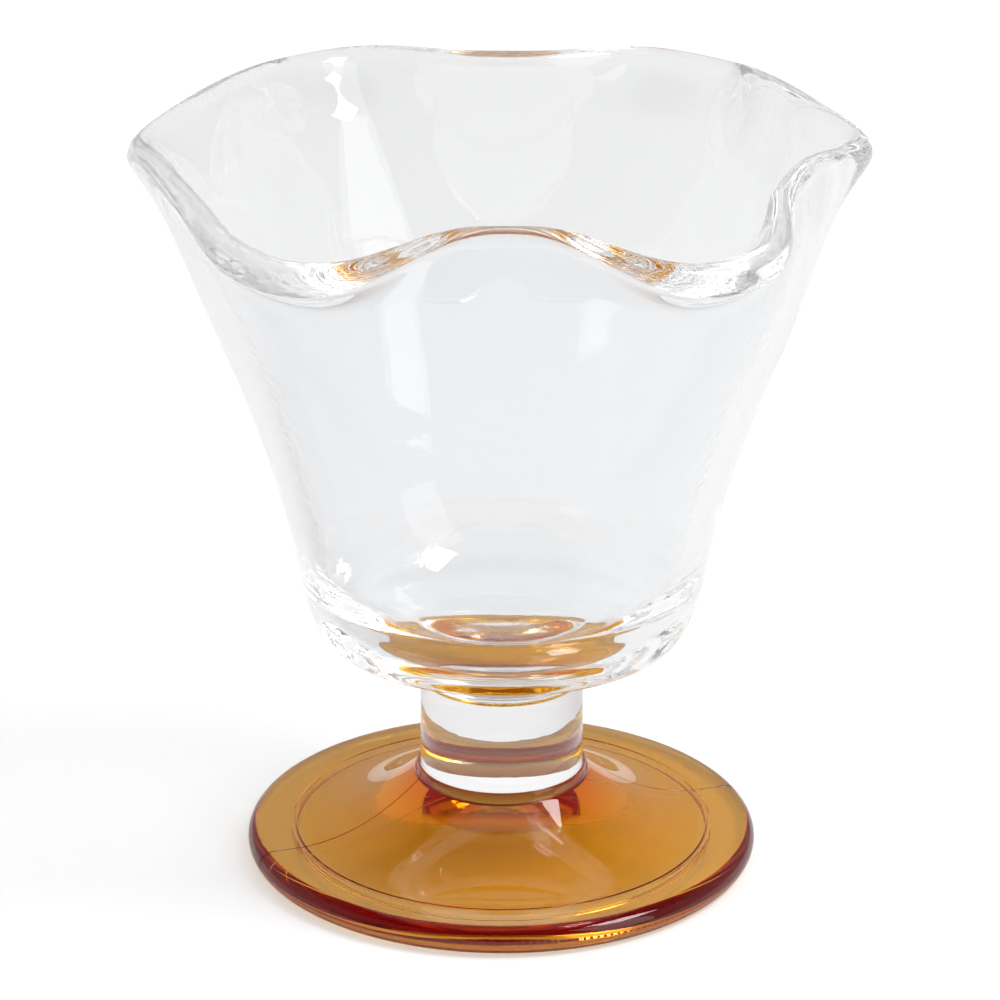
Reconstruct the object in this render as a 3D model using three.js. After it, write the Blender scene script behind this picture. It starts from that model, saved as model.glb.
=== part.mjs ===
// Ice cream bowl: a clear glass bowl with a pinched, ruffled rim, a short clear
// stem and an amber glass foot. Millimetres, +Z up, standing on the plane Z = 0,
// with the stem's axis on Z. The front of the bowl looks along -Y.

import * as THREE from 'three'

// Foot: a pressed amber disc with a domed middle, a hollow underside and a shallow
// seat in the top of the dome that the stem stands in
const FOOT_RADIUS = 42
const FOOT_EDGE_THICKNESS = 4.8
const STAND_INNER_RADIUS = 34.3
const STAND_STEP = 0.9
const DOME_TOP = 15.9
const DOME_SHOULDER = 0.9
const DOME_SHOULDER_DROP = 1.6
const FOOT_WALL = 6.9
const SEAT_DEPTH = 2.7
const SEAT_CLEARANCE = 0.1
const SEAT_LIP = 0.4

// Stem: a short solid peg, standing in the foot's seat and fused to the bowl's neck
const STEM_RADIUS = 13.4
const STEM_EDGE_ROUND = 0.6
const STEM_TOP = 31.3

// Bowl: a short neck, a thick rounded base, a trumpet wall and a beaded rim
const NECK_FLARE = 3
const NECK_HEIGHT = 3.5
const NECK_BEND = 1.4
const HEEL_RADIUS = 32.9
const HEEL_HEIGHT = 18.2
const HEEL_TUCK = 3.45
const UNDERSIDE_RISE = 9.15
const FLOOR_THICKNESS = 6.5
const FLOOR_DISH = 5.6
const WALL_THICKNESS = 4.4
const RIM_HEIGHT = 118.8
const RIM_RADIUS = 58.8
const LOBE_BEAD = 6
const PINCH_BEAD = 4.8

// Guide points of the curved outlines, as shares of each outline's rise and run
const TRUMPET_LOW = { run: 0.11, rise: 0.28 }
const TRUMPET_HIGH = { run: 0.54, rise: 0.795 }
const DOME_LOW = { run: 0.635, rise: 0.05 }
const DOME_HIGH = { run: 0.31, rise: 0.38 }
const HOLLOW_LOW = { run: 0.54, rise: 0.04 }
const HOLLOW_HIGH = { run: 0.33, rise: 1 }
const HEEL_GUIDE = { run: 0.65, rise: 0.27 }

// Where the inside leaves the wall for its round corner, as a share of the wall,
// and where that corner meets the dished floor, as a share of the inside's radius
const FLOOR_TURN = 0.2
const FLOOR_SHARE = 0.5

// How far up the wall the ruffle and the bead begin, as shares of the wall, how
// fast the ruffle grows from there, and how flat each pinch is in its middle
const RUFFLE_START = 0.57
const RUFFLE_GROWTH = 1.9
const BEAD_START = 0.83
const PINCH_FLATNESS = 3

// Where the roll of the two front lobes begins, how fast it grows, and how flat each
// roll is in its middle
const ROLL_START = 0.87
const ROLL_GROWTH = 2
const ROLL_FLATNESS = 4

// Each pinch of the rim: its direction round the bowl and its spread, in degrees,
// and how far it presses the lip in and lifts it, in millimetres
const PINCHES = [
  { name: 'front', at: 270.5, spread: 22.4, depth: 10.2, lift: 6.6 },
  { name: 'right front', at: 341.5, spread: 21, depth: 10.2, lift: 3.7 },
  { name: 'right back', at: 30, spread: 15.5, depth: 6.6, lift: 4 },
  { name: 'back', at: 90, spread: 18.5, depth: 11.6, lift: 1.8 },
  { name: 'left back', at: 147.5, spread: 18, depth: 5, lift: 3.2 },
  { name: 'left front', at: 199, spread: 21, depth: 3.8, lift: 3.5 },
]

// Each rolled lip: its direction and spread, in degrees, and how far the lip hangs out
// and down over the wall below it, in millimetres
const ROLLS = [
  { name: 'front left', at: 240, spread: 26, out: 3.2, drop: 1.8 },
  { name: 'front right', at: 301, spread: 26, out: 3.2, drop: 1.8 },
]

const BOWL_STEPS = 90
const ROUND_STEPS = 64

const clearGlass = new THREE.MeshStandardMaterial({ color: 0xe9ecee, roughness: 0.05, metalness: 0 })
clearGlass.name = 'clear_glass'
const amberGlass = new THREE.MeshStandardMaterial({ color: 0xc67c1c, roughness: 0.08, metalness: 0 })
amberGlass.name = 'amber_glass'

// Points of a section: x is the distance from the axis and y the height
const point = (radius, height) => new THREE.Vector2(radius, height)

const guide = (from, to, share) => point(
  from.x + (to.x - from.x) * share.run,
  from.y + (to.y - from.y) * share.rise,
)

const bend = (from, low, high, to, steps) => (
  new THREE.CubicBezierCurve(from, low, high, to).getPoints(steps)
)

const corner = (from, middle, to, steps) => (
  new THREE.QuadraticBezierCurve(from, middle, to).getPoints(steps)
)

const arc = (centre, radius, from, to, steps) => {
  const points = []
  for (let i = 0; i <= steps; i += 1) {
    const turn = THREE.MathUtils.degToRad(from + ((to - from) * i) / steps)
    points.push(point(centre.x + radius * Math.cos(turn), centre.y + radius * Math.sin(turn)))
  }
  return points
}

// Skins a closed body from its section at each angle. A section runs from the
// lower point on the axis, round the outside, to the upper point on the axis.
const skin = (steps, sectionAt) => {
  const sections = []
  for (let k = 0; k < steps; k += 1) {
    sections.push(sectionAt((2 * Math.PI * k) / steps))
  }
  const count = sections[0].length - 2
  const positions = [0, 0, sections[0][0].y, 0, 0, sections[0][count + 1].y]
  sections.forEach((section, k) => {
    const turn = (2 * Math.PI * k) / steps
    for (const p of section.slice(1, -1)) {
      positions.push(p.x * Math.cos(turn), p.x * Math.sin(turn), p.y)
    }
  })
  const faces = []
  for (let k = 0; k < steps; k += 1) {
    const here = 2 + k * count
    const next = 2 + ((k + 1) % steps) * count
    faces.push(0, next, here)
    for (let j = 0; j + 1 < count; j += 1) {
      faces.push(here + j, next + j, next + j + 1)
      faces.push(here + j, next + j + 1, here + j + 1)
    }
    faces.push(here + count - 1, next + count - 1, 1)
  }
  const geometry = new THREE.BufferGeometry()
  geometry.setAttribute('position', new THREE.Float32BufferAttribute(positions, 3))
  geometry.setIndex(faces)
  geometry.computeVertexNormals()
  return geometry
}

// Foot: hollow, standing ring, rounded edge, flat band, dome and the seat that the
// stem stands in
const footSection = () => {
  const edge = FOOT_EDGE_THICKNESS / 2
  const hollowTop = point(0, DOME_TOP - FOOT_WALL)
  const hollowEdge = point(STAND_INNER_RADIUS - STAND_STEP, STAND_STEP)
  const hollowLow = point(
    hollowEdge.x * HOLLOW_LOW.run,
    STAND_STEP + (hollowTop.y - STAND_STEP) * HOLLOW_LOW.rise,
  )
  const hollowHigh = point(
    hollowEdge.x * HOLLOW_HIGH.run,
    STAND_STEP + (hollowTop.y - STAND_STEP) * HOLLOW_HIGH.rise,
  )
  const band = point(STAND_INNER_RADIUS, FOOT_EDGE_THICKNESS)
  const shoulder = point(STEM_RADIUS + DOME_SHOULDER, DOME_TOP - DOME_SHOULDER_DROP)
  const domeLow = point(
    shoulder.x + (band.x - shoulder.x) * DOME_LOW.run,
    band.y + (shoulder.y - band.y) * DOME_LOW.rise,
  )
  const domeHigh = point(
    shoulder.x + (band.x - shoulder.x) * DOME_HIGH.run,
    band.y + (shoulder.y - band.y) * DOME_HIGH.rise,
  )
  const seat = STEM_RADIUS + SEAT_CLEARANCE
  return [
    ...bend(hollowTop, hollowHigh, hollowLow, hollowEdge, 8),
    point(STAND_INNER_RADIUS, 0),
    ...arc(point(FOOT_RADIUS - edge, edge), edge, -90, 90, 8),
    ...bend(band, domeLow, domeHigh, shoulder, 10),
    point(seat + SEAT_LIP, DOME_TOP),
    point(seat, DOME_TOP),
    point(seat, DOME_TOP - SEAT_DEPTH),
    point(0, DOME_TOP - SEAT_DEPTH),
  ]
}

// Stem: rounded lower edge and straight shaft
const stemSection = () => {
  const bottom = DOME_TOP - SEAT_DEPTH
  const edge = point(STEM_RADIUS - STEM_EDGE_ROUND, bottom + STEM_EDGE_ROUND)
  return [
    point(0, bottom),
    ...arc(edge, STEM_EDGE_ROUND, -90, 0, 3),
    point(STEM_RADIUS, STEM_TOP),
    point(0, STEM_TOP),
  ]
}

// Bowl: the middle of the wall follows a trumpet curve from the heel to the rim,
// the pinches press it in and lift it more and more towards the rim, and the rolls
// tuck the wall in under the lips of the front lobes, so that those hang over it
const heel = point(HEEL_RADIUS, STEM_TOP + HEEL_HEIGHT)
const wallFoot = point(HEEL_RADIUS - WALL_THICKNESS / 2, heel.y)
const wallTop = point(RIM_RADIUS, RIM_HEIGHT)
const trumpet = new THREE.CubicBezierCurve(
  wallFoot,
  guide(wallFoot, wallTop, TRUMPET_LOW),
  guide(wallFoot, wallTop, TRUMPET_HIGH),
  wallTop,
)

const degreesApart = (turn, at) => {
  const away = Math.abs(THREE.MathUtils.radToDeg(turn) - at)
  return Math.min(away, 360 - away)
}

const shapeAt = (turn) => {
  const shape = { depth: 0, lift: 0, press: 0, out: 0, drop: 0 }
  for (const { at, spread, depth, lift } of PINCHES) {
    const press = Math.exp(-((degreesApart(turn, at) / spread) ** PINCH_FLATNESS))
    shape.depth += depth * press
    shape.lift += lift * press
    shape.press = Math.max(shape.press, press)
  }
  for (const { at, spread, out, drop } of ROLLS) {
    const roll = Math.exp(-((degreesApart(turn, at) / spread) ** ROLL_FLATNESS))
    shape.out += out * roll
    shape.drop += drop * roll
  }
  return shape
}

const growth = (s, start, power) => Math.max((s - start) / (1 - start), 0) ** power

const wallMiddle = (s, shape) => {
  const p = trumpet.getPoint(s)
  const ruffle = growth(s, RUFFLE_START, RUFFLE_GROWTH)
  const roll = growth(s, ROLL_START, ROLL_GROWTH) - ruffle
  return point(
    p.x - shape.depth * ruffle + shape.out * roll,
    p.y + shape.lift * ruffle * s - shape.drop * roll,
  )
}

const wallFrame = (s, shape) => {
  const step = 0.004
  const above = wallMiddle(Math.min(s + step, 1), shape)
  const along = above.sub(wallMiddle(Math.max(s - step, 0), shape)).normalize()
  const bead = LOBE_BEAD + (PINCH_BEAD - LOBE_BEAD) * shape.press
  const swell = THREE.MathUtils.smoothstep(s, BEAD_START, 1)
  const half = (WALL_THICKNESS + (bead - WALL_THICKNESS) * swell) / 2
  return { middle: wallMiddle(s, shape), along, half }
}

const wallSide = (s, shape, side) => {
  const { middle, along, half } = wallFrame(s, shape)
  return point(middle.x + along.y * half * side, middle.y - along.x * half * side)
}

// Steps up the wall lie closer together towards the rim
const wallSteps = (from, count) => {
  const steps = []
  for (let i = 0; i < count; i += 1) {
    steps.push(1 - (1 - from) * (1 - i / count) ** 1.5)
  }
  return steps
}

// Inside of the base: a round corner from the wall to a floor that is dished
const floorPoints = (shape) => {
  const innerFoot = wallSide(FLOOR_TURN, shape, -1)
  const { along } = wallFrame(FLOOR_TURN, shape)
  const floor = STEM_TOP + FLOOR_THICKNESS
  const dish = (radius) => point(radius, floor + FLOOR_DISH * (radius / innerFoot.x) ** 2)
  const edge = dish(innerFoot.x * FLOOR_SHARE)
  const slope = (2 * FLOOR_DISH * FLOOR_SHARE) / innerFoot.x
  const lean = along.x / along.y
  const drop = (innerFoot.y - edge.y - slope * (innerFoot.x - edge.x)) / (1 - slope * lean)
  const turn = point(innerFoot.x - lean * drop, innerFoot.y - drop)
  return [
    ...corner(innerFoot, turn, edge, 7),
    dish((edge.x * 2) / 3),
    dish(edge.x / 3),
    point(0, floor),
  ]
}

const bowlSection = (turn) => {
  const shape = shapeAt(turn)
  const joint = point(STEM_RADIUS, STEM_TOP)
  const neckBend = point(STEM_RADIUS, STEM_TOP + NECK_BEND)
  const neck = point(STEM_RADIUS + NECK_FLARE, STEM_TOP + NECK_HEIGHT)
  const underside = point(HEEL_RADIUS - HEEL_TUCK, STEM_TOP + UNDERSIDE_RISE)
  const rim = wallFrame(1, shape)
  const lean = THREE.MathUtils.radToDeg(Math.atan2(-rim.along.x, rim.along.y))
  return [
    point(0, STEM_TOP),
    ...corner(joint, neckBend, neck, 4),
    ...corner(underside, guide(underside, heel, HEEL_GUIDE), heel, 6).slice(0, -1),
    ...wallSteps(0, 12).map((s) => wallSide(s, shape, 1)),
    ...arc(rim.middle, rim.half, lean, lean + 180, 8),
    ...wallSteps(FLOOR_TURN, 10).slice(1).reverse().map((s) => wallSide(s, shape, -1)),
    ...floorPoints(shape),
  ]
}

const piece = (name, geometry, material) => {
  const mesh = new THREE.Mesh(geometry, material)
  mesh.name = name
  return mesh
}

const group = new THREE.Group()
group.name = 'ice_cream_bowl'
group.add(piece('foot', skin(ROUND_STEPS, footSection), amberGlass))
group.add(piece('stem', skin(ROUND_STEPS, stemSection), clearGlass))
group.add(piece('bowl', skin(BOWL_STEPS, bowlSection), clearGlass))

export default group
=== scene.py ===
import math

import bpy
from mathutils import Matrix, Vector


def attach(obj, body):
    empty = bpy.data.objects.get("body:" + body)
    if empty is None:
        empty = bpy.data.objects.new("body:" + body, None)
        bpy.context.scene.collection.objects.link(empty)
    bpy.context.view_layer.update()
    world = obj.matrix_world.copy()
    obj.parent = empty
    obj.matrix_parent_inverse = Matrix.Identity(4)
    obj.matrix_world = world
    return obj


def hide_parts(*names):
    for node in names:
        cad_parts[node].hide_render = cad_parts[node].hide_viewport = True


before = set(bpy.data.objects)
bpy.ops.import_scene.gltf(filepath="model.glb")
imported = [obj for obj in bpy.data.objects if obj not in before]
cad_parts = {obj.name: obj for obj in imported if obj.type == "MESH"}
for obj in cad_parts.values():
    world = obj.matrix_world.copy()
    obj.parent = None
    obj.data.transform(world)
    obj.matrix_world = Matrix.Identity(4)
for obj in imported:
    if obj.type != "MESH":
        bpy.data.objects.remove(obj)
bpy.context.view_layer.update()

mm = 0.001

# The foot is one pressed disc of amber glass: a rounded edge, a flat outer band
# and a dome that rises to the stem's seat. Its underside is hollow, so it stands
# on a flat ring, and two mould seams and a fine groove are left on its upper face.
foot_radius = 42.0
foot_edge = 4.8
stand_inner = 34.3
stand_step = 0.9
stand_step_width = 0.9
hollow_top = 9.0
hollow_guides = ((0.33, 1.0), (0.54, 0.04))
hollow_points = 60
dome_shoulder = 14.3
dome_shoulder_height = 14.3
dome_guides = ((0.635, 0.05), (0.31, 0.38))
dome_top = 15.9
seat_radius = 13.5
seat_height = 13.16
seat_lip = 0.25
stand_edge_guide = 0.25
stand_edge_low = 0.12
stand_edge_end = (0.1, 0.02)
stand_flat_start = 0.3
shoulder_guide = (0.2, 0.9)
lip_guide = 0.4
foot_turns = 192
sharp_angle = math.radians(35)


def within(low, high, shares):
    """The point that lies at these shares of the way from one corner of a box to the other."""
    return tuple(a + (b - a) * share for a, b, share in zip(low, high, shares))


def cubic(t, *points):
    weights = ((1 - t) ** 3, 3 * t * (1 - t) ** 2, 3 * t * t * (1 - t), t**3)
    return tuple(sum(w * p[n] for w, p in zip(weights, points)) for n in (0, 1))


def bend(start, low, high, end, steps):
    return [cubic(i / steps, start, low, high, end) for i in range(steps + 1)]


def arc(centre, radius, start, end, steps):
    points = []
    for i in range(steps + 1):
        turn = math.radians(start + (end - start) * i / steps)
        points.append((centre[0] + radius * math.cos(turn), centre[1] + radius * math.sin(turn)))
    return points


def straight(start, end, steps):
    return [within(start, end, (i / steps, i / steps)) for i in range(steps + 1)]


def one_outline(*runs):
    points = []
    for run in runs:
        for p in run:
            if not points or math.dist(p, points[-1]) > 1e-5:
                points.append(p)
    return points


def turned(name, outline, turns):
    """A closed body turned about Z.

    The outline runs from the lower point on the axis, round the outside, to the upper one.
    """
    points = [Vector((0, 0, outline[0][1] * mm)), Vector((0, 0, outline[-1][1] * mm))]
    count = len(outline) - 2
    for k in range(turns):
        turn = 2 * math.pi * k / turns
        for r, z in outline[1:-1]:
            points.append(Vector((r * math.cos(turn), r * math.sin(turn), z)) * mm)
    faces = []
    for k in range(turns):
        here, there = 2 + k * count, 2 + (k + 1) % turns * count
        faces.append((0, there, here))
        faces.append((here + count - 1, there + count - 1, 1))
        for j in range(count - 1):
            faces.append((here + j, there + j, there + j + 1, here + j + 1))
    mesh = bpy.data.meshes.new(name)
    mesh.from_pydata(points, [], faces)
    mesh.shade_smooth()
    mesh.set_sharp_from_angle(angle=sharp_angle)
    made = bpy.data.objects.new(name, mesh)
    bpy.context.collection.objects.link(made)
    return made


half_edge = foot_edge / 2
band_outer = foot_radius - half_edge
hollow_edge = (stand_inner - stand_step_width, stand_step)
hollow_box = (0, stand_step), (hollow_edge[0], hollow_top)
shoulder = (dome_shoulder, dome_shoulder_height)
dome_box = (dome_shoulder, foot_edge), (stand_inner, dome_shoulder_height)
lip_centre = (seat_radius + seat_lip, dome_top - seat_lip)
foot_outline = one_outline(
    bend(
        (0, hollow_top),
        within(*hollow_box, hollow_guides[0]),
        within(*hollow_box, hollow_guides[1]),
        hollow_edge,
        hollow_points,
    ),
    bend(
        hollow_edge,
        (stand_inner - stand_edge_guide, stand_step),
        (stand_inner - stand_edge_guide, stand_edge_low),
        (stand_inner + stand_edge_end[0], stand_edge_end[1]),
        8,
    ),
    straight((stand_inner + stand_flat_start, 0), (band_outer, 0), 4),
    arc((band_outer, half_edge), half_edge, -90, 90, 32),
    straight((band_outer, foot_edge), (stand_inner, foot_edge), 5),
    bend(
        (stand_inner, foot_edge),
        within(*dome_box, dome_guides[0]),
        within(*dome_box, dome_guides[1]),
        shoulder,
        60,
    ),
    bend(
        shoulder,
        (dome_shoulder - shoulder_guide[0], dome_top - shoulder_guide[1]),
        (seat_radius + lip_guide, dome_top),
        (lip_centre[0], dome_top),
        6,
    ),
    arc(lip_centre, seat_lip, 90, 180, 4),
    straight((seat_radius, lip_centre[1]), (seat_radius, seat_height), 4),
    straight((seat_radius, seat_height), (0, seat_height), 3),
)
foot = turned("foot_amber", foot_outline, foot_turns)
in_hollow = [1.0 if i < hollow_points else 0.0 for i in range(len(foot_outline) - 2)]
hollow_mark = foot.data.attributes.new("hollow", "FLOAT", "POINT")
hollow_mark.data.foreach_set("value", [1.0, 0.0] + in_hollow * foot_turns)


def put(tree, socket, value):
    """Links a socket to another node's output, or gives it a fixed value."""
    if isinstance(value, bpy.types.NodeSocket):
        tree.links.new(value, socket)
    else:
        socket.default_value = value


def reckon(tree, operation, *values):
    node = tree.nodes.new("ShaderNodeMath")
    node.operation = operation
    for socket, value in zip(node.inputs, values):
        put(tree, socket, value)
    return node.outputs[0]


def mixed(tree, kind, factor, first, second):
    mix = tree.nodes.new("ShaderNodeMix")
    mix.data_type = kind
    for label, value in (("Factor", factor), ("A", first), ("B", second)):
        put(tree, mix.inputs[label], value)
    return mix.outputs["Result"]


def fading(tree, value, start, end, first, last, shape="SMOOTHSTEP"):
    fade = tree.nodes.new("ShaderNodeMapRange")
    fade.interpolation_type = shape
    sides = {"Value": value, "From Min": start, "From Max": end, "To Min": first, "To Max": last}
    for label, side in sides.items():
        put(tree, fade.inputs[label], side)
    return fade.outputs["Result"]


def axis_distance(tree, where):
    """How far a point is from the stem's axis, in metres."""
    flat = tree.nodes.new("ShaderNodeVectorMath")
    flat.operation = "MULTIPLY"
    flat.inputs[1].default_value = (1, 1, 0)
    tree.links.new(where, flat.inputs[0])
    radius = tree.nodes.new("ShaderNodeVectorMath")
    radius.operation = "LENGTH"
    tree.links.new(flat.outputs["Vector"], radius.inputs[0])
    return radius.outputs["Value"]


def worked_glass_group():
    """The skin of hand-worked glass.

    It has slow ripples left by the mould and the tools, and a faint haze of handling.
    """
    group = bpy.data.node_groups.new("worked_glass", "ShaderNodeTree")
    sockets = group.interface
    for label in ("Ripple Scale", "Fine Scale", "Fine Share", "Least Haze", "Most Haze"):
        sockets.new_socket(name=label, in_out="INPUT", socket_type="NodeSocketFloat")
    sockets.new_socket(name="Height", in_out="OUTPUT", socket_type="NodeSocketFloat")
    sockets.new_socket(name="Haze", in_out="OUTPUT", socket_type="NodeSocketFloat")
    nodes, links = group.nodes, group.links
    take, give = nodes.new("NodeGroupInput"), nodes.new("NodeGroupOutput")
    where = nodes.new("ShaderNodeTexCoord")

    def noise(scale, detail):
        made = nodes.new("ShaderNodeTexNoise")
        links.new(where.outputs["Object"], made.inputs["Vector"])
        put(group, made.inputs["Scale"], scale)
        made.inputs["Detail"].default_value = detail
        return made.outputs["Fac"]

    slow = noise(take.outputs["Ripple Scale"], 1.0)
    fine = noise(take.outputs["Fine Scale"], 2.0)
    smear = noise(38.0, 4.0)
    height = mixed(group, "FLOAT", take.outputs["Fine Share"], slow, fine)
    least, most = take.outputs["Least Haze"], take.outputs["Most Haze"]
    haze = fading(group, smear, 0.45, 0.75, least, most, "LINEAR")
    links.new(height, give.inputs["Height"])
    links.new(haze, give.inputs["Haze"])
    return group


worked_glass = worked_glass_group()


def glass_material(name, colour, index, ripple_depth, skin_values):
    """Solid glass with the worked skin. Returns the material, its shader and its bump."""
    material = bpy.data.materials.new(name)
    material.use_nodes = True
    tree = material.node_tree
    shader = tree.nodes["Principled BSDF"]
    shader.inputs["Base Color"].default_value = (*colour, 1)
    shader.inputs["Metallic"].default_value = 0.0
    shader.inputs["Transmission Weight"].default_value = 1.0
    shader.inputs["IOR"].default_value = index
    skin = tree.nodes.new("ShaderNodeGroup")
    skin.node_tree = worked_glass
    for label, value in skin_values.items():
        skin.inputs[label].default_value = value
    tree.links.new(skin.outputs["Haze"], shader.inputs["Roughness"])
    bump = tree.nodes.new("ShaderNodeBump")
    bump.inputs["Strength"].default_value = 1.0
    bump.inputs["Distance"].default_value = ripple_depth * mm
    tree.links.new(skin.outputs["Height"], bump.inputs["Height"])
    tree.links.new(bump.outputs["Normal"], shader.inputs["Normal"])
    return material, shader, bump


amber_index = 1.52
amber_ripple_depth = 0.12
amber_skin = {
    "Ripple Scale": 55.0,
    "Fine Scale": 260.0,
    "Fine Share": 0.12,
    "Least Haze": 0.0,
    "Most Haze": 0.03,
}
amber_absorbed = (0.953, 0.74, 0.13, 1)
amber_density = 300.0
dome_amber = (1.0, 0.86, 0.24, 1)
shoulder_amber = (0.86, 0.8, 0.24, 1)
# Painted shade: the dark crease round the stem
crease_painted_shade = (0.3, 0.1, 0.02, 1)
band_pale = (1, 0.97, 0.75, 1)
# Painted shade: the rounded edge, darkened as if the table below shades it
edge_painted_shade = (0.55, 0.36, 0.3, 1)
# Painted shade and painted light on the hollow's roof under the stem
under_stem_painted_shade = (0.6, 0.34, 0.08, 1)
under_stem_painted_light = (1, 1, 0.6, 1)
rings_above = (
    (0.316, dome_amber),
    (0.32, crease_painted_shade),
    (0.334, crease_painted_shade),
    (0.35, shoulder_amber),
    (0.5, shoulder_amber),
    (0.62, dome_amber),
    (0.77, dome_amber),
    (0.82, band_pale),
    (0.955, band_pale),
    (0.99, edge_painted_shade),
)
# Under the stem, the hollow's roof gets painted shade with a ring of painted light round it
rings_below = (
    (0.285, under_stem_painted_shade),
    (0.3, under_stem_painted_light),
    (0.325, under_stem_painted_light),
    (0.345, dome_amber),
    (0.77, dome_amber),
    (0.8, band_pale),
)
seam_angle = 19.0
seam_half_width = 0.14
groove_half_width = 0.5
mark_depth = 0.18


def amber_glass():
    white = (1.0, 1.0, 1.0)
    material, shader, bump = glass_material(
        "amber_glass", white, amber_index, amber_ripple_depth, amber_skin
    )
    tree = material.node_tree
    tint = tree.nodes.new("ShaderNodeVolumeAbsorption")
    tint.inputs["Color"].default_value = amber_absorbed
    tint.inputs["Density"].default_value = amber_density
    tree.links.new(tint.outputs["Volume"], tree.nodes["Material Output"].inputs["Volume"])
    # Painted shade makes a dark crease round the stem, the dome is deep amber, the flat band
    # paler, and painted shade from the table turns the rounded edge brown
    where = tree.nodes.new("ShaderNodeTexCoord").outputs["Object"]
    radius = axis_distance(tree, where)
    share = reckon(tree, "DIVIDE", radius, foot_radius * mm)

    def rings(stops):
        ramp = tree.nodes.new("ShaderNodeValToRGB")
        marks = ramp.color_ramp.elements
        marks[0].position, marks[0].color = stops[0]
        marks[1].position, marks[1].color = stops[-1]
        for place, colour in stops[1:-1]:
            marks.new(place).color = colour
        tree.links.new(share, ramp.inputs["Fac"])
        return ramp.outputs["Color"]

    hollow = tree.nodes.new("ShaderNodeAttribute")
    hollow.attribute_name = "hollow"
    amber = mixed(tree, "RGBA", hollow.outputs["Fac"], rings(rings_above), rings(rings_below))
    tree.links.new(amber, shader.inputs["Base Color"])
    # The two mould seams are a fine step on one line through the axis, and the groove
    # runs round the foot where the dome meets the band
    turn = tree.nodes.new("ShaderNodeMapping")
    turn.vector_type = "TEXTURE"
    turn.inputs["Rotation"].default_value = (0, 0, math.radians(seam_angle))
    tree.links.new(where, turn.inputs["Vector"])
    across = tree.nodes.new("ShaderNodeSeparateXYZ")
    tree.links.new(turn.outputs["Vector"], across.inputs["Vector"])
    half_seam = seam_half_width * mm
    seam = fading(tree, across.outputs["Y"], -half_seam, half_seam, 0.0, 1.0)
    off_groove = reckon(tree, "ABSOLUTE", reckon(tree, "SUBTRACT", radius, stand_inner * mm))
    groove = fading(tree, off_groove, 0.0, groove_half_width * mm, -1.0, 0.0)
    marked = tree.nodes.new("ShaderNodeBump")
    marked.inputs["Strength"].default_value = 1.0
    marked.inputs["Distance"].default_value = mark_depth * mm
    tree.links.new(reckon(tree, "ADD", seam, groove), marked.inputs["Height"])
    tree.links.new(bump.outputs["Normal"], marked.inputs["Normal"])
    tree.links.new(marked.outputs["Normal"], shader.inputs["Normal"])
    return material


foot.data.materials.append(amber_glass())
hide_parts("foot")
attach(foot, "root")

# The stem is a short solid peg of clear glass. It was stood hot in the foot's shallow
# seat, round which the foot has a fine line of painted shade, and the bowl was fused on its top.
stem_radius = 13.4
stem_bottom = 13.2
stem_edge_round = 0.7
stem_top = 31.3
stem_turns = 160

stem_flat = stem_radius - stem_edge_round
stem_round_top = stem_bottom + stem_edge_round
stem_outline = one_outline(
    straight((0, stem_bottom), (stem_flat, stem_bottom), 3),
    arc((stem_flat, stem_round_top), stem_edge_round, -90, 0, 8),
    straight((stem_radius, stem_round_top), (stem_radius, stem_top), 8),
    straight((stem_radius, stem_top), (0, stem_top), 3),
)
stem = turned("stem_clear", stem_outline, stem_turns)

clear_colour = (0.955, 0.96, 0.967)
clear_index = 1.51
clear_ripple_depth = 0.16
clear_skin = {
    "Ripple Scale": 42.0,
    "Fine Scale": 300.0,
    "Fine Share": 0.1,
    "Least Haze": 0.0,
    "Most Haze": 0.02,
}
clear = glass_material("clear_glass", clear_colour, clear_index, clear_ripple_depth, clear_skin)[0]
joint_clear = (1, 1, 1, 1)
joint_amber = (0.86, 0.5, 0.06, 1)
joint_clear_radius = 8.5
joint_amber_radius = 10.5


def fused_joint():
    """The disc where stem and bowl were fused hot, so light goes straight through it.

    The amber near its edge stands for light that the stem carries up from the foot.
    """
    material = bpy.data.materials.new("fused_joint")
    material.use_nodes = True
    tree = material.node_tree
    tree.nodes.remove(tree.nodes["Principled BSDF"])
    through = tree.nodes.new("ShaderNodeBsdfTransparent")
    radius = axis_distance(tree, tree.nodes.new("ShaderNodeTexCoord").outputs["Object"])
    start, end = joint_clear_radius * mm, joint_amber_radius * mm
    ring = fading(tree, radius, start, end, 0.0, 1.0, "LINEAR")
    tint = mixed(tree, "RGBA", ring, joint_clear, joint_amber)
    tree.links.new(tint, through.inputs["Color"])
    tree.links.new(through.outputs["BSDF"], tree.nodes["Material Output"].inputs["Surface"])
    return material


joint = fused_joint()


def mark_joint(piece, height, radius):
    for face in piece.data.polygons:
        c = face.center
        if abs(c.z - height * mm) < 1e-6 and math.hypot(c.x, c.y) < radius * mm:
            face.material_index = 1


stem.data.materials.append(clear)
stem.data.materials.append(joint)
mark_joint(stem, stem_top, stem_radius)
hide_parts("stem")
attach(stem, "root")

# The bowl is clear glass with a thick base and a trumpet wall. While the rim was
# soft it was pressed in and up at six places by hand, so six lobes flare out
# between the pinches, and the fire left a round bead along the lip.
neck = (16.4, 34.8)
neck_guide = (13.4, 32.7)
underside = (29.45, 40.45)
heel_guide = (31.7, 42.9)
heel_radius = 32.9
heel_height = 49.5
floor_height = 37.0
floor_dish = 9.3
floor_power = 2.0
floor_share = 0.303
floor_turn = 0.107
wall_thickness = 4.4
rim_height = 118.79
rim_radius = 58.65
lobe_bead = 6.0
pinch_bead = 4.8
bead_start = 0.83
trumpet_low = (0.11, 0.28)
trumpet_high = (0.54, 0.795)
ruffle_start = 0.57
ruffle_growth = 1.9
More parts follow.
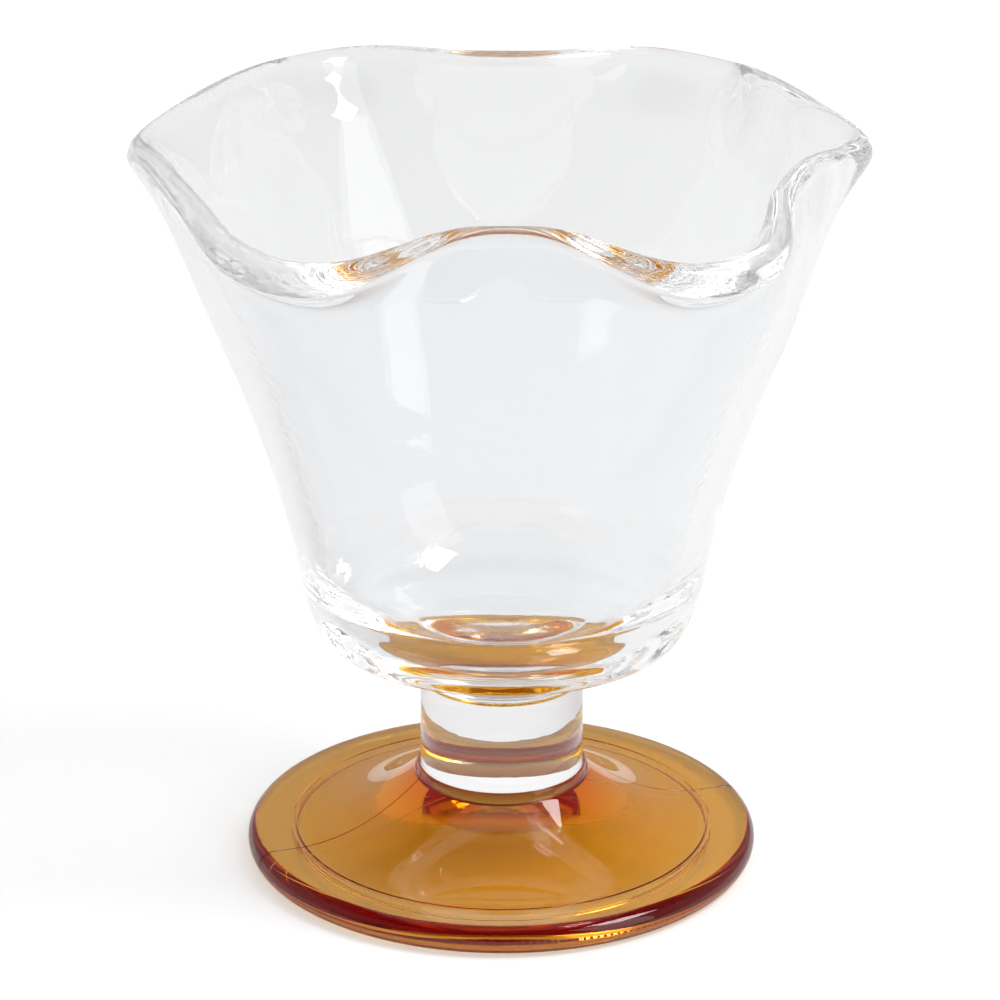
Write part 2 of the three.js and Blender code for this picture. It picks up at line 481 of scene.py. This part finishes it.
# Each pinch has its angle and spread in degrees, and how far it goes in and up in mm
pinch_labels = ("At", "Spread", "Depth", "Lift")
pinch_flatness = 3.0
pinches = {
    "Front": (270.5, 22.4, 10.2, 6.6),
    "Right Front": (341.5, 21.0, 10.2, 3.7),
    "Right Back": (30.0, 15.5, 6.6, 4.0),
    "Back": (90.0, 18.5, 11.6, 1.8),
    "Left Back": (147.5, 18.0, 5.0, 3.2),
    "Left Front": (199.0, 21.0, 3.8, 3.5),
}
# The two front lobes roll over the wall: the same four values, out and down
roll_start = 0.87
roll_flatness = 4.0
rolls = {
    "Front Left Roll": (240.0, 26.0, 3.2, 1.8),
    "Front Right Roll": (301.0, 26.0, 3.2, 1.8),
}
outer_steps = 60
lip_steps = 24
inner_steps = 56
rim_crowding = 1.3
floor_steps = 24
slope_step = 0.002
bowl_turns = 256


def trumpet(s):
    """The middle of the unpinched wall at a share of the way from the heel to the rim."""
    start, end = (heel_radius - wall_thickness / 2, heel_height), (rim_radius, rim_height)
    return cubic(s, start, within(start, end, trumpet_low), within(start, end, trumpet_high), end)


def ruffle(s):
    return max((s - ruffle_start) / (1 - ruffle_start), 0) ** ruffle_growth


def roll(s):
    return max((s - roll_start) / (1 - roll_start), 0) ** 2 - ruffle(s)


def smooth_step(x):
    x = min(max(x, 0), 1)
    return x * x * (3 - 2 * x)


def rates(s):
    """The wall's direction, and how fast the ruffle and the roll grow along it."""
    low, high = max(s - slope_step, 0), min(s + slope_step, 1)
    a, b = trumpet(low), trumpet(high)
    length = math.dist(a, b)
    along = ((b[0] - a[0]) / length, (b[1] - a[1]) / length)
    return along, (ruffle(high) - ruffle(low)) / length, (roll(high) - roll(low)) / length


def blended(end, guide):
    """The guide of a cubic bend that matches a bend with one guide."""
    return tuple(e + (g - e) * 2 / 3 for e, g in zip(end, guide))


def one_guide_bend(start, guide, end, steps):
    return bend(start, blended(start, guide), blended(end, guide), end, steps)


def bowl_section():
    """Points of the bowl's section, from the joint round the outside to the middle of the floor.

    Each has its middle, the wall's direction there, how its skin lies across and along the
    wall with how far the bead has swollen, and how much of the ruffle and of the roll it
    takes, each with the rate at which that grows.
    """
    section = []

    def plain(run):
        for p in run:
            section.append((p, (0, 1), (0, 0, 0), (0, 0), (0, 0)))

    def wall(s, turn):
        along, growth, curl = rates(s)
        across = math.cos(math.radians(turn)), math.sin(math.radians(turn))
        swollen = smooth_step((s - bead_start) / (1 - bead_start))
        skin = (*across, swollen)
        section.append((trumpet(s), along, skin, (ruffle(s), growth), (roll(s), curl)))

    joined, heel = (stem_radius, stem_top), (heel_radius, heel_height)
    plain(straight((0, stem_top), joined, 4))
    plain(one_guide_bend(joined, neck_guide, neck, 12)[1:])
    plain(straight(neck, underside, 8)[1:])
    plain(one_guide_bend(underside, heel_guide, heel, 16)[1:-1])
    for i in range(outer_steps):
        wall(1 - (1 - i / outer_steps) ** rim_crowding, 0)
    for i in range(lip_steps + 1):
        wall(1, 180 * i / lip_steps)
    for i in range(1, inner_steps):
        wall(floor_turn + (1 - floor_turn) * (1 - (i / inner_steps) ** rim_crowding), 180)
    # The inner wall turns into the dished floor where their tangents meet
    middle, along = trumpet(floor_turn), rates(floor_turn)[0]
    half = wall_thickness / 2
    inner_foot = (middle[0] - along[1] * half, middle[1] + along[0] * half)
    lean = along[0] / along[1]

    def dish(r):
        return floor_height + floor_dish * (r / inner_foot[0]) ** floor_power

    edge_radius = inner_foot[0] * floor_share
    dish_edge = (edge_radius, dish(edge_radius))
    slope = floor_power * floor_dish * floor_share ** (floor_power - 1) / inner_foot[0]
    rise = inner_foot[1] - dish_edge[1] - slope * (inner_foot[0] - dish_edge[0])
    drop = rise / (1 - slope * lean)
    corner = (inner_foot[0] - lean * drop, inner_foot[1] - drop)
    plain(one_guide_bend(inner_foot, corner, dish_edge, 28))
    for i in range(1, floor_steps + 1):
        r = edge_radius * (1 - i / floor_steps)
        plain([(r, dish(r))])
    return section


def pinch_group():
    """One pinch: how far it presses the lip in and up at an angle round the bowl."""
    group = bpy.data.node_groups.new("one_pinch", "GeometryNodeTree")
    for label in ("Angle", "Flatness", *pinch_labels):
        group.interface.new_socket(name=label, in_out="INPUT", socket_type="NodeSocketFloat")
    for label in ("Press", "In", "Up"):
        group.interface.new_socket(name=label, in_out="OUTPUT", socket_type="NodeSocketFloat")
    take = group.nodes.new("NodeGroupInput").outputs
    give = group.nodes.new("NodeGroupOutput").inputs
    away = reckon(group, "SUBTRACT", take["Angle"], take["At"])
    away = reckon(group, "FLOORED_MODULO", reckon(group, "ADD", away, 180.0), 360.0)
    away = reckon(group, "ABSOLUTE", reckon(group, "SUBTRACT", away, 180.0))
    share = reckon(group, "DIVIDE", away, take["Spread"])
    share = reckon(group, "POWER", share, take["Flatness"])
    press = reckon(group, "EXPONENT", reckon(group, "MULTIPLY", share, -1.0))
    group.links.new(press, give["Press"])
    group.links.new(reckon(group, "MULTIPLY", press, take["Depth"]), give["In"])
    group.links.new(reckon(group, "MULTIPLY", press, take["Lift"]), give["Up"])
    return group


def pinched_bowl_tree():
    """Sweeps the section's points round the axis and presses the wall in and up at each pinch."""
    tree = bpy.data.node_groups.new("pinched_bowl", "GeometryNodeTree")
    face = tree.interface
    face.new_socket(name="Section", in_out="INPUT", socket_type="NodeSocketGeometry")
    face.new_socket(name="Steps", in_out="INPUT", socket_type="NodeSocketInt")
    face.new_socket(name="Points", in_out="INPUT", socket_type="NodeSocketInt")
    labels = ["Wall Thickness", "Lobe Bead", "Pinch Bead", "Pinch Flatness", "Roll Flatness"]
    labels += [f"{name} {label}" for name in (*pinches, *rolls) for label in pinch_labels]
    for label in labels:
        face.new_socket(name=label, in_out="INPUT", socket_type="NodeSocketFloat")
    face.new_socket(name="Glass", in_out="INPUT", socket_type="NodeSocketMaterial")
    face.new_socket(name="Bowl", in_out="OUTPUT", socket_type="NodeSocketGeometry")
    nodes, links = tree.nodes, tree.links
    take = nodes.new("NodeGroupInput").outputs
    give = nodes.new("NodeGroupOutput").inputs

    # A grid has one column of points for each step round the bowl
    grid = nodes.new("GeometryNodeMeshGrid")
    links.new(reckon(tree, "ADD", take["Steps"], 1), grid.inputs["Vertices X"])
    links.new(take["Points"], grid.inputs["Vertices Y"])
    index = nodes.new("GeometryNodeInputIndex").outputs["Index"]
    row = reckon(tree, "FLOORED_MODULO", index, take["Points"])
    column = reckon(tree, "DIVIDE", reckon(tree, "ADD", index, 0.5), take["Points"])
    column = reckon(tree, "FLOOR", column)
    angle = reckon(tree, "DIVIDE", reckon(tree, "MULTIPLY", column, 360.0), take["Steps"])

    def of_section(attribute):
        named = nodes.new("GeometryNodeInputNamedAttribute")
        named.data_type = "FLOAT_VECTOR"
        named.inputs["Name"].default_value = attribute
        sample = nodes.new("GeometryNodeSampleIndex")
        sample.data_type = "FLOAT_VECTOR"
        sample.domain = "POINT"
        links.new(take["Section"], sample.inputs["Geometry"])
        links.new(named.outputs["Attribute"], sample.inputs["Value"])
        links.new(row, sample.inputs["Index"])
        parts = nodes.new("ShaderNodeSeparateXYZ")
        links.new(sample.outputs["Value"], parts.inputs[0])
        return parts.outputs

    middle, along, skin = of_section("middle"), of_section("along"), of_section("skin")
    ruffled, rolled = of_section("ruffled"), of_section("rolled")
    one_pinch = pinch_group()

    def all_of(names, flatness):
        press, inward, upward = 0.0, 0.0, 0.0
        for name in names:
            pinch = nodes.new("GeometryNodeGroup")
            pinch.node_tree = one_pinch
            links.new(angle, pinch.inputs["Angle"])
            links.new(take[flatness], pinch.inputs["Flatness"])
            for label in pinch_labels:
                links.new(take[f"{name} {label}"], pinch.inputs[label])
            press = reckon(tree, "MAXIMUM", press, pinch.outputs["Press"])
            inward = reckon(tree, "ADD", inward, pinch.outputs["In"])
            upward = reckon(tree, "ADD", upward, pinch.outputs["Up"])
        return press, inward, upward

    press, inward, upward = all_of(pinches, "Pinch Flatness")
    outward, downward = all_of(rolls, "Roll Flatness")[1:]

    def times(a, b):
        return reckon(tree, "MULTIPLY", a, b)

    def plus_times(base, a, b):
        return reckon(tree, "MULTIPLY_ADD", a, b, base)

    def less_times(base, a, b):
        return reckon(tree, "SUBTRACT", base, times(a, b))

    # Half of the wall's thickness, which swells into the bead at the lip
    thinner = reckon(tree, "SUBTRACT", take["Pinch Bead"], take["Lobe Bead"])
    bead = plus_times(take["Lobe Bead"], thinner, press)
    swell = reckon(tree, "SUBTRACT", bead, take["Wall Thickness"])
    half = times(plus_times(take["Wall Thickness"], swell, skin["Z"]), 0.5)

    # The wall's direction after the pinches and rolls, and the skin's offset from its middle
    lean_r = less_times(along["X"], inward, ruffled["Y"])
    lean_r = plus_times(lean_r, outward, rolled["Y"])
    lean_z = plus_times(along["Z"], upward, ruffled["Y"])
    lean_z = less_times(lean_z, downward, rolled["Y"])
    length = reckon(tree, "SQRT", plus_times(times(lean_z, lean_z), lean_r, lean_r))
    lean_r = reckon(tree, "DIVIDE", lean_r, length)
    lean_z = reckon(tree, "DIVIDE", lean_z, length)
    off_r = plus_times(times(skin["Y"], lean_r), skin["X"], lean_z)
    off_z = less_times(times(skin["Y"], lean_z), skin["X"], lean_r)

    # The point itself, turned to its place round the axis
    r = less_times(middle["X"], inward, ruffled["X"])
    r = plus_times(r, outward, rolled["X"])
    r = times(plus_times(r, off_r, half), mm)
    z = plus_times(middle["Z"], upward, ruffled["X"])
    z = less_times(z, downward, rolled["X"])
    z = times(plus_times(z, off_z, half), mm)
    turn = reckon(tree, "RADIANS", angle)
    place = nodes.new("ShaderNodeCombineXYZ")
    links.new(times(r, reckon(tree, "COSINE", turn)), place.inputs["X"])
    links.new(times(r, reckon(tree, "SINE", turn)), place.inputs["Y"])
    links.new(z, place.inputs["Z"])

    moved = nodes.new("GeometryNodeSetPosition")
    links.new(grid.outputs["Mesh"], moved.inputs["Geometry"])
    links.new(place.outputs["Vector"], moved.inputs["Position"])
    closed = nodes.new("GeometryNodeMergeByDistance")
    closed.inputs["Distance"].default_value = 2e-6
    links.new(moved.outputs["Geometry"], closed.inputs["Geometry"])
    whole = nodes.new("GeometryNodeRealizeInstances")
    links.new(closed.outputs["Geometry"], whole.inputs["Geometry"])
    dressed = nodes.new("GeometryNodeSetMaterial")
    links.new(whole.outputs["Geometry"], dressed.inputs["Geometry"])
    links.new(take["Glass"], dressed.inputs["Material"])
    links.new(dressed.outputs["Geometry"], give["Bowl"])
    return tree


def section_mesh(section):
    """The section's points as a line, with what the sweep needs to know in attributes."""
    line = bpy.data.meshes.new("bowl_section")
    points = [(p[0][0], 0, p[0][1]) for p in section]
    line.from_pydata(points, [(i, i + 1) for i in range(len(points) - 1)], [])
    for n, label in enumerate(("middle", "along", "skin", "ruffled", "rolled")):
        store = line.attributes.new(label, "FLOAT_VECTOR", "POINT")
        for item, p in zip(store.data, section):
            v = p[n]
            item.vector = (v[0], 0, v[1]) if n < 2 else (*v, 0)[:3]
    return line


def make_bowl():
    section = bowl_section()
    rough = bpy.data.objects.new("bowl_rough", section_mesh(section))
    bpy.context.collection.objects.link(rough)
    modifier = rough.modifiers.new("pinched_bowl", "NODES")
    tree = pinched_bowl_tree()
    modifier.node_group = tree
    values = {
        "Steps": bowl_turns,
        "Points": len(section),
        "Wall Thickness": wall_thickness,
        "Lobe Bead": lobe_bead,
        "Pinch Bead": pinch_bead,
        "Pinch Flatness": pinch_flatness,
        "Roll Flatness": roll_flatness,
        "Glass": clear,
    }
    for name, sizes in {**pinches, **rolls}.items():
        for label, value in zip(pinch_labels, sizes):
            values[f"{name} {label}"] = value
    for item in tree.interface.items_tree:
        if item.in_out == "INPUT" and item.name in values:
            modifier[item.identifier] = values[item.name]
    ready = rough.evaluated_get(bpy.context.evaluated_depsgraph_get())
    mesh = bpy.data.meshes.new_from_object(ready)
    rough.modifiers.remove(modifier)
    bpy.data.objects.remove(rough)
    mesh.name = "bowl_clear"
    made = bpy.data.objects.new("bowl_clear", mesh)
    bpy.context.collection.objects.link(made)
    volume = 0.0
    for face in mesh.polygons:
        a, b, c = (mesh.vertices[v].co for v in face.vertices[:3])
        volume += a.dot(b.cross(c))
    if volume < 0:
        mesh.flip_normals()
    mesh.shade_smooth()
    mesh.set_sharp_from_angle(angle=sharp_angle)
    return made


bowl = make_bowl()
bowl.data.materials.append(joint)
mark_joint(bowl, stem_top, stem_radius)
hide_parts("bowl")
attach(bowl, "root")

# The floor is a plain pale table in a studio: white to the eye, a shade darker
# seen through the glass, and it keeps the soft shadow of the dish.
table_reach = 4.0
table_level = -0.0001
table_through_glass = (0.87, 0.87, 0.87, 1)
table_to_camera = (0.97, 0.97, 0.97, 1)
table_lift = 0.12
corners = [
    (x * table_reach, y * table_reach, table_level)
    for x, y in ((-1, -1), (1, -1), (1, 1), (-1, 1))
]
table_mesh = bpy.data.meshes.new("table")
table_mesh.from_pydata(corners, [], [(0, 1, 2, 3)])
table = bpy.data.objects.new("table", table_mesh)
bpy.context.collection.objects.link(table)
table_white = bpy.data.materials.new("table_white")
table_white.use_nodes = True
tree = table_white.node_tree
tree.nodes.remove(tree.nodes["Principled BSDF"])
matt = tree.nodes.new("ShaderNodeBsdfDiffuse")
lit = tree.nodes.new("ShaderNodeEmission")
both = tree.nodes.new("ShaderNodeAddShader")
seen = tree.nodes.new("ShaderNodeLightPath").outputs["Is Camera Ray"]
shade = mixed(tree, "RGBA", seen, table_through_glass, table_to_camera)
tree.links.new(shade, matt.inputs["Color"])
tree.links.new(reckon(tree, "MULTIPLY", seen, table_lift), lit.inputs["Strength"])
tree.links.new(matt.outputs["BSDF"], both.inputs[0])
tree.links.new(lit.outputs["Emission"], both.inputs[1])
tree.links.new(both.outputs["Shader"], tree.nodes["Material Output"].inputs["Surface"])
table_mesh.materials.append(table_white)

# The studio is a pale room. Glass sees it darker overhead, and reflections see it darker
# in front as well. Two large soft lamps stand on the right, one high up and one tall. A
# fill in the tall one's place lights the table below the foot and isn't reflected.
room_level = 0.63
reflected_level = 0.4
world = bpy.data.worlds.new("studio")
bpy.context.scene.world = world
world.use_nodes = True
tree = world.node_tree
room = tree.nodes["Background"]
room.inputs["Color"].default_value = (1, 1, 1, 1)
ray = tree.nodes.new("ShaderNodeLightPath").outputs
toward = tree.nodes.new("ShaderNodeSeparateXYZ")
direction = tree.nodes.new("ShaderNodeTexCoord").outputs["Generated"]
tree.links.new(direction, toward.inputs["Vector"])
up, back = toward.outputs["Z"], toward.outputs["Y"]
overhead = fading(tree, up, 0.45, 0.9, 1.0, 0.15)
behind = fading(tree, back, -0.75, 0.1, 0.3, 1.0)
backdrop = reckon(tree, "MULTIPLY", overhead, behind)
in_reflections = reckon(tree, "MULTIPLY", backdrop, reflected_level)
through_glass = fading(tree, up, 0.72, 0.92, 1.0, 0.25)
level = mixed(tree, "FLOAT", ray["Is Glossy Ray"], room_level, in_reflections)
level = mixed(tree, "FLOAT", ray["Is Transmission Ray"], level, through_glass)
tree.links.new(level, room.inputs["Strength"])


def soft_lamp(name, place, aim, size, power, shadow):
    lamp = bpy.data.lights.new(name, "AREA")
    lamp.shape = "RECTANGLE"
    lamp.size, lamp.size_y = size
    lamp.energy = power
    lamp.use_shadow = shadow
    made = bpy.data.objects.new(name, lamp)
    made.location = place
    made.rotation_euler = (Vector(aim) - Vector(place)).to_track_quat("-Z", "Y").to_euler()
    bpy.context.collection.objects.link(made)
    return made


tall_place, tall_aim, tall_size = (1.7, -1.1, 1.15), (0, 0, 0.07), (1.1, 2.1)
soft_lamp(
    "high_right_lamp",
    place=(1.28, -0.24, 1.95),
    aim=(0, 0, 0.04),
    size=(0.88, 0.64),
    power=18,
    shadow=True,
)
soft_lamp("tall_right_lamp", tall_place, tall_aim, tall_size, power=10, shadow=False)
fill_lamp = soft_lamp("fill_lamp", tall_place, tall_aim, tall_size, power=20, shadow=False)
fill_lamp.visible_glossy = False

# The camera looks down on the dish with a long lens, as in the photo. Its distance of a
# metre is chosen. Light may pass many glass faces before it counts as lost.
camera_place = (-0.0004, -1.0, 0.485)
camera_pitch = 22.92
camera_roll = 0.2
sensor_width = 36.0
focal_share = 6.673
glass_bounces = 64
lens = bpy.data.cameras.new("camera")
lens.sensor_width = sensor_width
lens.lens = focal_share * sensor_width
camera = bpy.data.objects.new("camera", lens)
camera.matrix_world = (
    Matrix.Translation(camera_place)
    @ Matrix.Rotation(math.radians(90 - camera_pitch), 4, "X")
    @ Matrix.Rotation(math.radians(camera_roll), 4, "Z")
)
bpy.context.collection.objects.link(camera)
scene = bpy.context.scene
scene.camera = camera
scene.view_settings.view_transform = "Standard"
scene.cycles.max_bounces = glass_bounces
scene.cycles.transmission_bounces = glass_bounces
scene.cycles.glossy_bounces = glass_bounces
scene.cycles.transparent_max_bounces = 16
